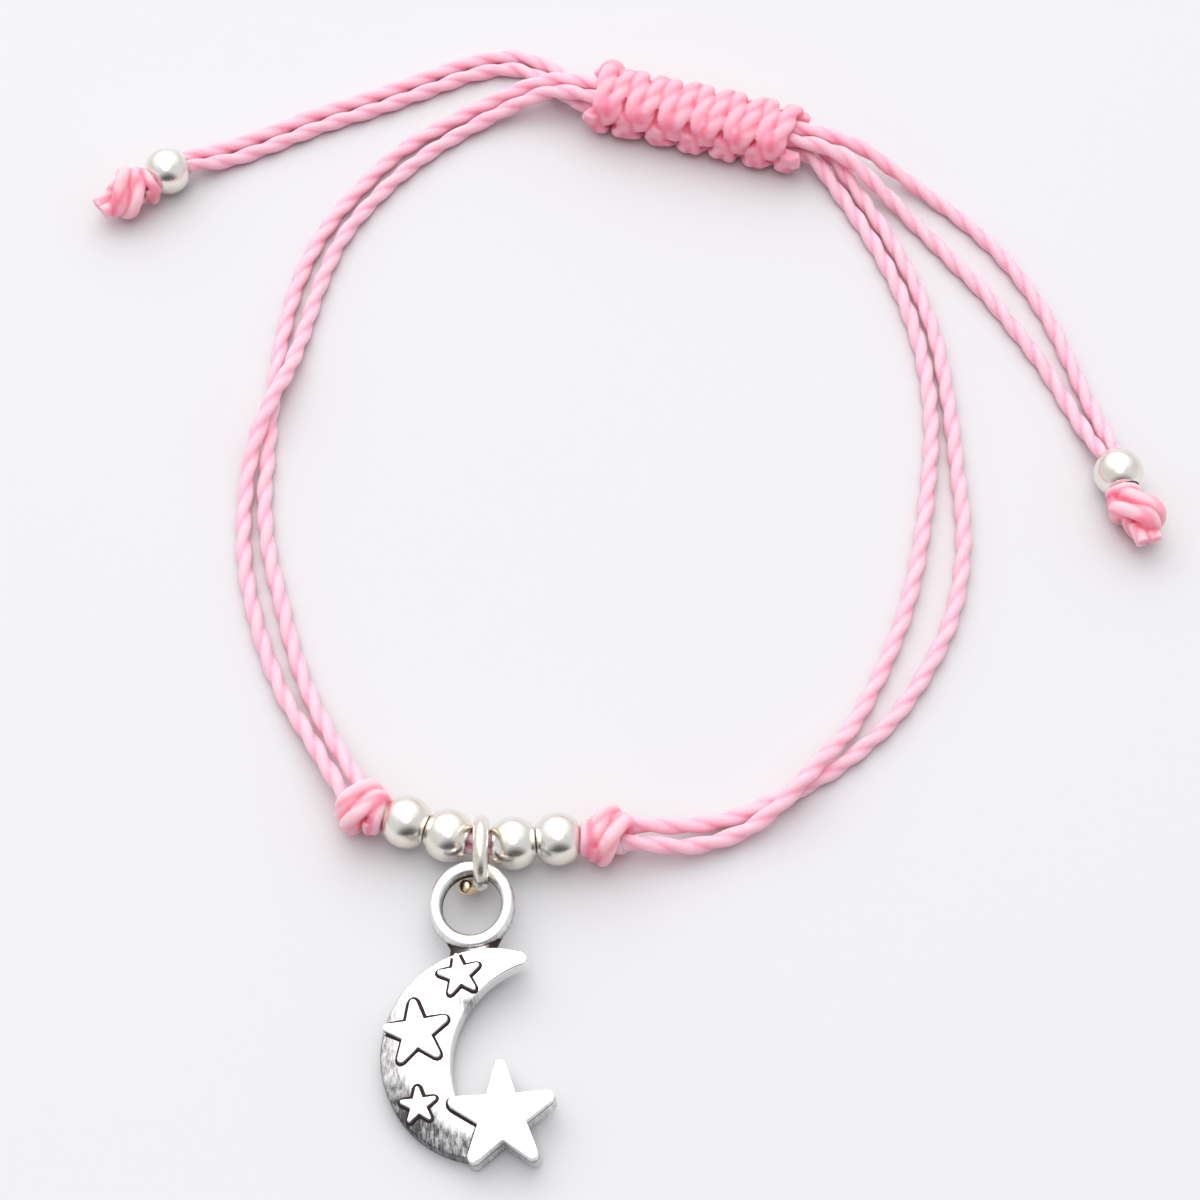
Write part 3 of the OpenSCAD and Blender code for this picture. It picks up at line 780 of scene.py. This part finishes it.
def melted_end():
    """The lump of melted cord where a working cord was cut off."""
    rng = np.random.default_rng(5)
    rows, sides = 24, 32
    polar = np.linspace(0.02, math.pi - 0.02, rows)
    ball = turned(np.cos(polar), np.sin(polar), sides)
    reach = np.ones(len(ball))
    for _ in range(9):
        reach += rng.uniform(-0.08, 0.1) * np.exp(4 * (ball @ unit(rng.normal(size=3)) - 1))
    local = ball * reach[:, None] * np.array([0.85, 0.8, 0.78]) * MM
    local += np.array([1 * MM - SLIDER_L / 2, SLIDER_W / 2 - 0.3 * MM, 0.6 * MM])
    # The melted lump gets a little painted shade all over.
    return lump(local, rows, sides, 0.35, 0.25)


def slider_core():
    """The strands pressed together behind the slider's turns, which close the gaps between them."""
    rows, sides = 60, 40
    half_l, half_w, half_h = SLIDER_L / 2 - 0.8 * MM, 1.6 * MM, 1.25 * MM
    local = turned(np.linspace(-half_l, half_l, rows), np.ones(rows), sides) * (1, half_w, half_h)
    # The core shows only down in the gaps, so it is painted in deep shade all over.
    return lump(local, rows, sides, 0.5, 0.9)


slider_parts = slider_turns() + [melted_end(), slider_core()]
add_piece("sliding_knot", "cord_slider", *welded(*joined(slider_parts), SLIDER_WELD, 3))


# Beads

LIP_OUTER_R = 0.88 * MM


def bead_profile(lip_r):
    """Distance along the axis and radius of a drilled bead's section, round from its hole."""
    outer = math.acos(LIP_OUTER_R / (BEAD_D / 2))
    sphere = [(BEAD_D / 2 * math.sin(a), BEAD_D / 2 * math.cos(a))
              for a in np.linspace(-outer, outer, 41)]
    end = sphere[-1][0]
    lip = [(end + 0.02 * MM, BEAD_HOLE_D / 2 - 0.01 * MM), (end + 0.024 * MM, lip_r + 0.05 * MM),
           (end - 0.01 * MM, lip_r + 0.01 * MM), (end - 0.1 * MM, lip_r)]
    hole = [(x, lip_r) for x in np.linspace(end - 0.4 * MM, 0.4 * MM - end, 4)]
    return np.array(sphere + lip + hole + [(-x, r) for x, r in reversed(lip)])


def add_bead(node, at, turn, seed, lip_r):
    """A bead with a rounded lip at its hole and a few shallow dents."""
    rng = np.random.default_rng(seed)
    profile = bead_profile(lip_r)
    sides = 72
    local = turned(profile[:, 0], profile[:, 1], sides)
    for _ in range(14):
        middle = unit(rng.normal(size=3)) * BEAD_D / 2
        size = rng.uniform(0.25, 0.6) * MM
        near = np.exp(-np.sum((local - middle) ** 2, axis=1) / size**2)
        local = local * (1 - 0.006 * rng.uniform(0.3, 1) * near)[:, None]
    # The hole's last ring meets the first ring of the outside.
    faces = skin_faces(len(profile), sides, ends=False)
    last = (len(profile) - 1) * sides
    faces += [(last + k, last + (k + 1) % sides, (k + 1) % sides, k) for k in range(sides)]
    return add_piece(node, "bead_silver", placed(local, at, turn), faces)


FRONT_LIP_R = 0.73 * MM
END_LIP_R = 0.82 * MM
strung = ([(LEFT_ARM_TURN, far) for far in LEFT_BEADS[::-1]]
          + [(RIGHT_ARM_TURN, far) for far in RIGHT_BEADS])
for i, (turn, far) in enumerate(strung):
    add_bead(f"bead_{i + 1}", arm_point(turn, far), turn, i, FRONT_LIP_R)
left_end_bead = add_bead("left_end_bead", LEFT_END_AT, LEFT_END_TURN, 11, END_LIP_R)
right_end_bead = add_bead("right_end_bead", RIGHT_END_AT, RIGHT_END_TURN, 12, END_LIP_R)

# Jump ring

ring_side = direction(RING_TURN)
ring_back = direction(RING_TURN + 90)
ring_at = np.array([STRING_BEND[0], STRING_BEND[1], WIRE_RING_R + WIRE_D / 2])
ring_at = ring_at - RING_AHEAD_OF_STRING * ring_back - RING_LEFT_OF_BEND * ring_side


def jump_ring():
    """Nearly a whole turn of wire, with one end drawn aside and both ends rounded off."""
    t = np.linspace(0, 1, 200)
    a = np.radians(-5 + 350 * t)[:, None]
    aside = (WIRE_START_ASIDE - WIRE_ENDS_APART * t**WIRE_END_BEND)[:, None]
    path = ring_at + WIRE_RING_R * (np.sin(a) * UP - np.cos(a) * ring_back) + aside * ring_side
    along = tangents(path)
    out = unit(np.cross(along, ring_side))
    across = np.cross(along, out)
    sides = 28
    angle = np.linspace(0, 2 * math.pi, sides, endpoint=False)[None, :, None]
    far = far_along(path)
    rounding = 0.2 * MM
    share = np.clip(1 - np.minimum(far, far[-1] - far) / rounding, 0, 1)
    radius = (WIRE_LOOK_D / 2 * np.sqrt(1 - 0.7 * share**2))[:, None, None]
    points = path[:, None] + radius * (out[:, None] * np.cos(angle) + across[:, None] * np.sin(angle))
    # The plating is worn to warm brass at the cut end, and the wire is a little warmer low down.
    warm = np.clip((t - 0.86) / 0.08, 0, 1) * 0.9 + 0.3 * np.clip(-np.sin(a[:, 0]), 0, 1)
    warm = np.broadcast_to(warm[:, None], (len(path), sides)).ravel()
    return points.reshape(-1, 3), skin_faces(len(path), sides), {"warm": warm}


add_piece("jump_ring", "ring_silver", *jump_ring())

# Charm, drawn in its own plane with the ring's centre at the origin

# Each small star's place, radius and turn
SMALL_STARS = [
    (-0.55 * MM, -4.35 * MM, 1.22 * MM, 100),
    (-2.85 * MM, -7.5 * MM, 1.87 * MM, 97),
    (-2.65 * MM, -11.5 * MM, 1.03 * MM, 95),
]
MOON_EDGE_T = 0.98 * MM
MOON_PEAK_T = 1.18 * MM
STAR_TOP = 1.42 * MM
NECK_T = 0.7 * MM
STAR_FOOT = MOON_EDGE_T - 0.1 * MM
STRIP_W = 0.17 * MM
# Below FOOT_TOP the moon's foot is behind the big star. Its end is a straight side through
# FOOT_AT, and FOOT_SIDE points into the foot.
FOOT_TOP = -11.6 * MM
FOOT_AT = np.array([0.4, -14.4]) * MM
FOOT_SIDE = np.array([-0.84, 0.54])
# The neck's left and right sides, from the ring down to the moon
NECK_LEFT = np.array([(-1.85, -1.45), (-1.35, -2.25), (-1.15, -2.7), (-1.3, -3.5)]) * MM
NECK_RIGHT = np.array([(1.95, -1.35), (1.5, -2.2), (1.35, -2.6), (1.5, -3.2)]) * MM


def star_outline(radius, turn):
    """A five-pointed star's corners, with its points rounded off."""
    blunt, tip_fall, inner_share = 6.3, 0.06, 0.46
    out = []
    for middle in range(turn, turn + 360, 72):
        for step in np.linspace(-1, 1, 5):
            out.append(radius * (1 - tip_fall * step**2) * direction(middle + step * blunt))
        out.append(inner_share * radius * direction(middle + 36))
    return np.array(out)[:, :2]


def star_distance(xy, outline):
    """Distance from each point of xy to the star's outline, negative inside it."""
    start, end = outline, np.roll(outline, -1, axis=0)
    edge = end - start
    rel = xy[:, None] - start[None]
    t = np.clip(np.sum(rel * edge, axis=2) / np.sum(edge * edge, axis=1), 0, 1)
    far = np.linalg.norm(rel - t[..., None] * edge, axis=2).min(axis=1)
    crosses = (start[None, :, 1] > xy[:, None, 1]) != (end[None, :, 1] > xy[:, None, 1])
    slope = (xy[:, None, 1] - start[None, :, 1]) / np.where(edge[:, 1] == 0, 1e-12, edge[:, 1])[None]
    hits = crosses & (xy[:, None, 0] < start[None, :, 0] + slope * edge[None, :, 0])
    inside = hits.sum(axis=1) % 2 == 1
    return np.where(inside, -far, far)


def star_rings(centre, radius, turn, distances):
    """Closed lines at each distance outside the star's outline, with points on shared rays."""
    outline = star_outline(radius, turn)
    count = 300
    angle = np.linspace(0, 2 * math.pi, count, endpoint=False)
    rays = np.stack([np.cos(angle), np.sin(angle)], 1)
    rings = []
    for distance in distances:
        near, far = np.zeros(count), np.full(count, radius + 0.5 * MM)
        for _ in range(22):
            middle = (near + far) / 2
            inside = star_distance(rays * middle[:, None], outline) < distance
            near, far = np.where(inside, middle, near), np.where(inside, far, middle)
        rings.append(centre + rays * near[:, None])
    return rings


def star_solid(centre, radius, turn, low, top):
    """A raised star with a rounded upper edge and a dark wall."""
    rim = 0.07 * MM
    # Distance outside the outline, height and darkness, from the flat top down to the foot
    levels = [(-2 * rim, top, 0.0), (-rim, top, 0.0), (-0.35 * rim, top - 0.25 * rim, 0.0),
              (0.0, top - rim, 0.3), (0.004 * MM, (top + low) / 2, 0.9), (0.008 * MM, low, 1.0)]
    rings = star_rings(centre, radius, turn, [level[0] for level in levels])
    count = len(rings[0])
    points = [np.column_stack([ring, np.full(count, level[1])]) for ring, level in zip(rings, levels)]
    points.append([[*centre, top]])
    dark = np.append(np.repeat([level[2] for level in levels], count), 0.0)
    faces = flipped(skin_faces(len(levels), count, ends=False))
    last = count * len(levels)
    faces += [(k, (k + 1) % count, last) for k in range(count)]
    faces.append(tuple(reversed(range(last - count, last))))
    return np.concatenate(points), faces, dark


def over_moon(xy):
    """1 where a point lies over the crescent, falling to 0 a little way outside it."""
    from_bite = np.linalg.norm(xy - MOON_BITE_AT, axis=1) - MOON_BITE_R
    # The foot fills the bite behind the big star, and ends under it along a straight side.
    from_bite = np.where(xy[:, 1] < FOOT_TOP, MOON_R, from_bite)
    from_foot = (xy - FOOT_AT) @ FOOT_SIDE
    inside = np.minimum(np.minimum(MOON_R - np.linalg.norm(xy - MOON_AT, axis=1), from_bite), from_foot)
    return np.clip(1 + inside / (0.1 * MM), 0, 1)


def star_outline_strip(centre, radius, turn, ground):
    """The dark line round a star's foot, on the ground that ground(points) gives."""
    inner, outer, wide = star_rings(centre, radius, turn, [0.005 * MM, STRIP_W, 1.5 * STRIP_W])
    # The line is wider towards the charm's ring.
    upper = np.clip(unit(inner - centre) @ unit(np.array([-0.3, 1.0])), 0, 1)
    outer = outer + (wide - outer) * upper[:, None]
    outer = inner + (outer - inner) * over_moon(outer)[:, None]
    # Each ring's height over the ground, from the star's wall outwards and back underneath
    lifts = ((inner, 0.045), ((inner + outer) / 2, 0.04), (outer, -0.02), (inner, -0.05))
    points = np.concatenate([np.column_stack([ring, ground(ring) + lift * MM]) for ring, lift in lifts])
    count = len(inner)
    faces = flipped(skin_faces(4, count, ends=False))
    last = 3 * count
    faces += [(last + (k + 1) % count, (k + 1) % count, k, last + k) for k in range(count)]
    return points, faces, np.ones(len(points))


def arc(centre, radius, start_at, end):
    """Points round a circle, from where it faces start_at to this many degrees from +X."""
    start = math.atan2(start_at[1] - centre[1], start_at[0] - centre[0])
    angle = start + (math.radians(end) - start) * np.linspace(0, 1, 200)
    return centre + radius * np.stack([np.cos(angle), np.sin(angle)], 1)


def crescent_sides():
    """The crescent's outer and inner side, as pairs of points from its horn to its foot."""
    outer = arc(MOON_AT, MOON_R, HORN_TIP_AT, 264)
    inner = arc(MOON_BITE_AT, MOON_BITE_R, HORN_TIP_AT, 201)
    # The horn's end is a half round of the tip's radius.
    middle, half = (outer[0] + inner[0]) / 2, (outer[0] - inner[0]) / 2
    forward = np.array([half[1], -half[0]])
    if forward @ (outer[0] - outer[1]) < 0:
        forward = -forward
    cap = np.linspace(math.pi / 2 * 0.96, 0, 9)[:-1, None]
    cap_middle, cap_half = middle + np.sin(cap) * forward, np.cos(cap) * half
    # The foot carries on a little way under the big star.
    under = np.linspace(0, 0.5, 6)[1:, None]
    return [np.concatenate([cap_middle + sign * cap_half, side,
                            side[-1] + under * (BIG_STAR_AT - side[-1])])
            for sign, side in ((1, outer), (-1, inner))]


def moon_solid():
    """The crescent: rounded rims, a slightly domed face, and patina along its outer edge."""
    outer, inner = crescent_sides()
    middle, half = (outer + inner) / 2, (outer - inner) / 2
    # The section runs over the face from the inner wall to the outer one, and back below.
    wide_steps = 64
    w = -np.cos(np.linspace(0.0, math.pi, wide_steps))
    width = np.linalg.norm(half, axis=1)
    rim_h, domed_w = 0.1 * MM, 1.6 * MM
    rows = []
    for k in range(len(outer)):
        bevel = min(rim_h, width[k] * 0.5)
        shoulder = np.minimum(width[k] * (1 - np.abs(w)), bevel) / bevel
        rim = np.sqrt(np.clip(1 - (1 - shoulder) ** 2, 0, 1))
        rise = (MOON_PEAK_T - MOON_EDGE_T) * min(1, width[k] / domed_w) * (1 - w**2)
        xy = middle[k] + w[:, None] * half[k]
        z = MOON_EDGE_T - rim_h + rim_h * rim + rise
        rows.append([*np.column_stack([xy, z]), [*outer[k], 0.0], [*inner[k], 0.0]])
    points = np.concatenate(rows)
    faces = flipped(skin_faces(len(rows), wide_steps + 2))
    xy = points[:, :2]
    # Patina lies along the outer edge from the left side down to the foot, darkest by the third star.
    rel = xy - MOON_AT
    inward = 1 - np.linalg.norm(rel, axis=1) / MOON_R
    turn = np.degrees(np.arctan2(rel[:, 1], rel[:, 0])) % 360
    wide = np.interp(turn, (150, 165, 180, 200, 218, 235, 262), (0.14, 0.2, 0.28, 0.37, 0.48, 0.4, 0.36))
    strong = np.interp(turn, (134, 150, 164, 192, 206, 220, 238, 262),
                       (0.0, 0.6, 0.8, 0.8, 1.0, 1.25, 1.05, 0.98))
    dark = strong * np.clip(1.8 * (1 - inward / wide), 0, 1)
    # The face is darker between the first star and the inner edge.
    near_first_star = (xy - np.array([-0.2, -5.8]) * MM) / (np.array([0.85, 0.6]) * MM)
    dark = np.maximum(dark, 0.9 * np.exp(-np.sum(near_first_star**2, axis=1)))
    by_neck = 0.7 * np.clip(1 - (np.linalg.norm(xy, axis=1) - 2.9 * MM) / (0.5 * MM), 0, 1)
    return points, faces, np.maximum(dark, by_neck)


def ring_solid():
    """The charm's ring: a flat band with rounded edges, a little longer than it is wide."""
    bevel = 0.33 * MM
    hole_r = CHARM_HOLE_R + 0.05 * MM
    mid_r, half_w = (hole_r + CHARM_RING_R) / 2, (CHARM_RING_R - hole_r) / 2
    profile = []
    for cx, cz, start in ((half_w - bevel, CHARM_RING_T - bevel, 0),
                          (bevel - half_w, CHARM_RING_T - bevel, 90),
                          (bevel - half_w, bevel, 180),
                          (half_w - bevel, bevel, 270)):
        for a in np.radians(np.linspace(start, start + 90, 7)):
            profile.append((mid_r + cx + bevel * math.cos(a), cz + bevel * math.sin(a)))
    profile = np.array(profile)
    # Darkness of the profile: low down and most of all on the inner wall, partly patina and partly painted
    # shade; and painted shade on the rounded edges, for the round section's shading.
    low = np.clip(1 - profile[:, 1] / (0.95 * MM), 0, 1)
    inner_side = np.clip((mid_r - profile[:, 0]) / half_w, 0, 1)
    rim = np.clip((np.abs(profile[:, 0] - mid_r) / half_w - 0.55) / 0.45, 0, 1)
    longer, shift = 1.06, 0.14 * MM
    count, sides = 120, len(profile)
    points, dark = [], []
    for a in np.linspace(0, 2 * math.pi, count, endpoint=False):
        points += [(r * math.cos(a), longer * r * math.sin(a) - shift, z) for r, z in profile]
        by_neck = max(0.0, -math.sin(a) - 0.75) * 2.2
        # Patina and painted shade together, and darker still low down by the neck.
        dark += list(low * (0.6 + 0.8 * inner_side) + by_neck * low + 0.4 * rim)
    starts = [(i * sides, (i + 1) % count * sides) for i in range(count)]
    faces = [(a + k, b + k, b + (k + 1) % sides, a + (k + 1) % sides)
             for a, b in starts for k in range(sides)]
    return np.array(points), faces, np.array(dark)


def neck_solid():
    """The neck between ring and moon: it flares into the ring, and is dark in its hollows."""
    left, right = smooth(NECK_LEFT, 8), smooth(NECK_RIGHT, 8)
    across = np.linspace(-1, 1, 25)
    # Its edges fall off, and a furrow runs down its left half.
    furrow = 0.1 * MM * np.exp(-((across + 0.55) / 0.2) ** 2)
    high = NECK_T - 0.14 * MM * np.abs(across) ** 5 - furrow
    top_dark = np.interp(across, (-0.9, -0.35, 0.0, 0.5, 0.75), (1.0, 0.85, 0.25, 0.3, 1.0))
    # It starts inside the ring's band, and never comes nearer to the ring's centre than this.
    nearest = 2.1 * MM
    points, dark = [], []
    for a, b in zip(left, right):
        row = (a + b) / 2 + across[:, None] * (b - a) / 2
        row = row * np.maximum(1, nearest / np.linalg.norm(row, axis=1))[:, None]
        top, bottom = np.column_stack([row, high]), np.column_stack([row, 0 * high])
        points.append(np.concatenate([top, bottom[::-1]]))
        dark.append(np.concatenate([top_dark, np.ones(len(row))]))
    faces = skin_faces(len(points), len(points[0]))
    return np.concatenate(points), faces, np.concatenate(dark)


def charm():
    """All of the charm, stretched a little away from its ring's bar and laid on the table."""
    bar_r = (CHARM_HOLE_R + CHARM_RING_R) / 2
    moon = moon_solid()
    face = moon[0][moon[0][:, 2] > MOON_EDGE_T / 2]

    def moon_height(xy):
        return np.array([face[np.argmin(np.sum((face[:, :2] - at) ** 2, axis=1)), 2] for at in xy])

    # Dark values are patina on the soft parts, with painted shade on the ring's edges and inner wall, and
    # grooves on the sharp ones.
    soft = [ring_solid(), moon]
    sharp = [neck_solid()]
    for x, y, radius, turn in SMALL_STARS:
        star = (np.array([x, y]), radius, turn)
        sharp.append(star_solid(*star, STAR_FOOT, STAR_TOP))
        sharp.append(star_outline_strip(*star, moon_height))
    big_star = (BIG_STAR_AT, BIG_STAR_R, 92)
    points, faces, dark = star_solid(*big_star, 0.0, BIG_STAR_T)
    soft.append((points, faces, 0.5 * dark))
    sharp.append(star_outline_strip(*big_star, moon_height))
    parts = [(p, f, {"dark": d, "groove": 0 * d, "plan": p / MM}) for p, f, d in soft]
    parts += [(p, f, {"dark": 0 * d, "groove": d, "plan": p / MM}) for p, f, d in sharp]
    points, faces, values = joined(parts)
    points[:, 1] = bar_r + CHARM_STRETCH * (points[:, 1] - bar_r)
    # The moon's lowest point, on its outer edge, touches the table.
    roll, tilt = math.radians(CHARM_ROLL), math.radians(CHARM_TILT)
    slope = np.array([math.sin(roll), math.cos(roll) * math.sin(tilt)])
    lift = np.linalg.norm(slope) * MOON_R - slope @ MOON_AT
    at = np.array([ring_at[0], ring_at[1], lift])
    at = at - (BAR_AHEAD_OF_RING + bar_r * math.cos(tilt)) * ring_back - CHARM_LEFT_OF_RING * ring_side
    turn = rotation(2, RING_TURN) @ rotation(1, -CHARM_ROLL) @ rotation(0, CHARM_TILT)
    return points @ turn.T + at, faces, values


edges = add_piece("charm", "antique_silver", *charm()).modifiers.new("edges", "EDGE_SPLIT")
edges.split_angle = math.radians(40)

# Floor and light

FLOOR_HALF = 1.5
floor_material, tree, shader = new_material("floor")
feed(tree, shader, {"Base Color": linear(208, 207, 209), "Roughness": 0.7})
corners = np.array([(-1, -1, 0), (1, -1, 0), (1, 1, 0), (-1, 1, 0)])
floor = add_mesh("floor", FLOOR_HALF * corners, [(0, 1, 2, 3)])
floor.data.materials.append(floor_material)


def add_light(name, at, size, power, colour):
    """A round lamp that faces the origin."""
    lamp = bpy.data.lights.new(name, "AREA")
    lamp.shape = "DISK"
    lamp.size = size
    lamp.energy = power
    lamp.color = colour
    obj = add_object(name, lamp)
    obj.location = at
    obj.rotation_euler = (math.atan2(math.hypot(at[0], at[1]), at[2]), 0,
                          math.atan2(at[1], at[0]) + math.pi / 2)


add_light("key", (-0.14, 0.32, 0.52), 0.75, 1.7, (1.0, 0.99, 0.97))
add_light("fill", (0.02, -0.14, 0.6), 0.35, 0.72, (1, 1, 1))

world = bpy.data.worlds.new("studio")
world.use_nodes = True
bpy.context.scene.world = world
tree = world.node_tree
# The room is brighter round the key light, and darker low down on the camera's side,
# which gives the beads their grey band.
seen = add_node(tree, "ShaderNodeTexCoord", {}).outputs["Generated"]
backward, keyward = [
    add_node(tree, "ShaderNodeVectorMath", {0: seen, 1: aim}, operation="DOT_PRODUCT").outputs["Value"]
    for aim in ((-0.33, 0.94, 0.0), (-0.22, 0.5, 0.84))]
room = mix_colour(tree, ramp(tree, keyward, 0.5, 0.88), (0.56, 0.57, 0.59, 1), (1.05, 1.05, 1.05, 1))
room = mix_colour(tree, ramp(tree, backward, -0.9, -0.6), (0.08, 0.08, 0.085, 1), room)
feed(tree, tree.nodes["Background"], {"Color": room, "Strength": 1.3})

bpy.context.scene.view_settings.view_transform = "Standard"
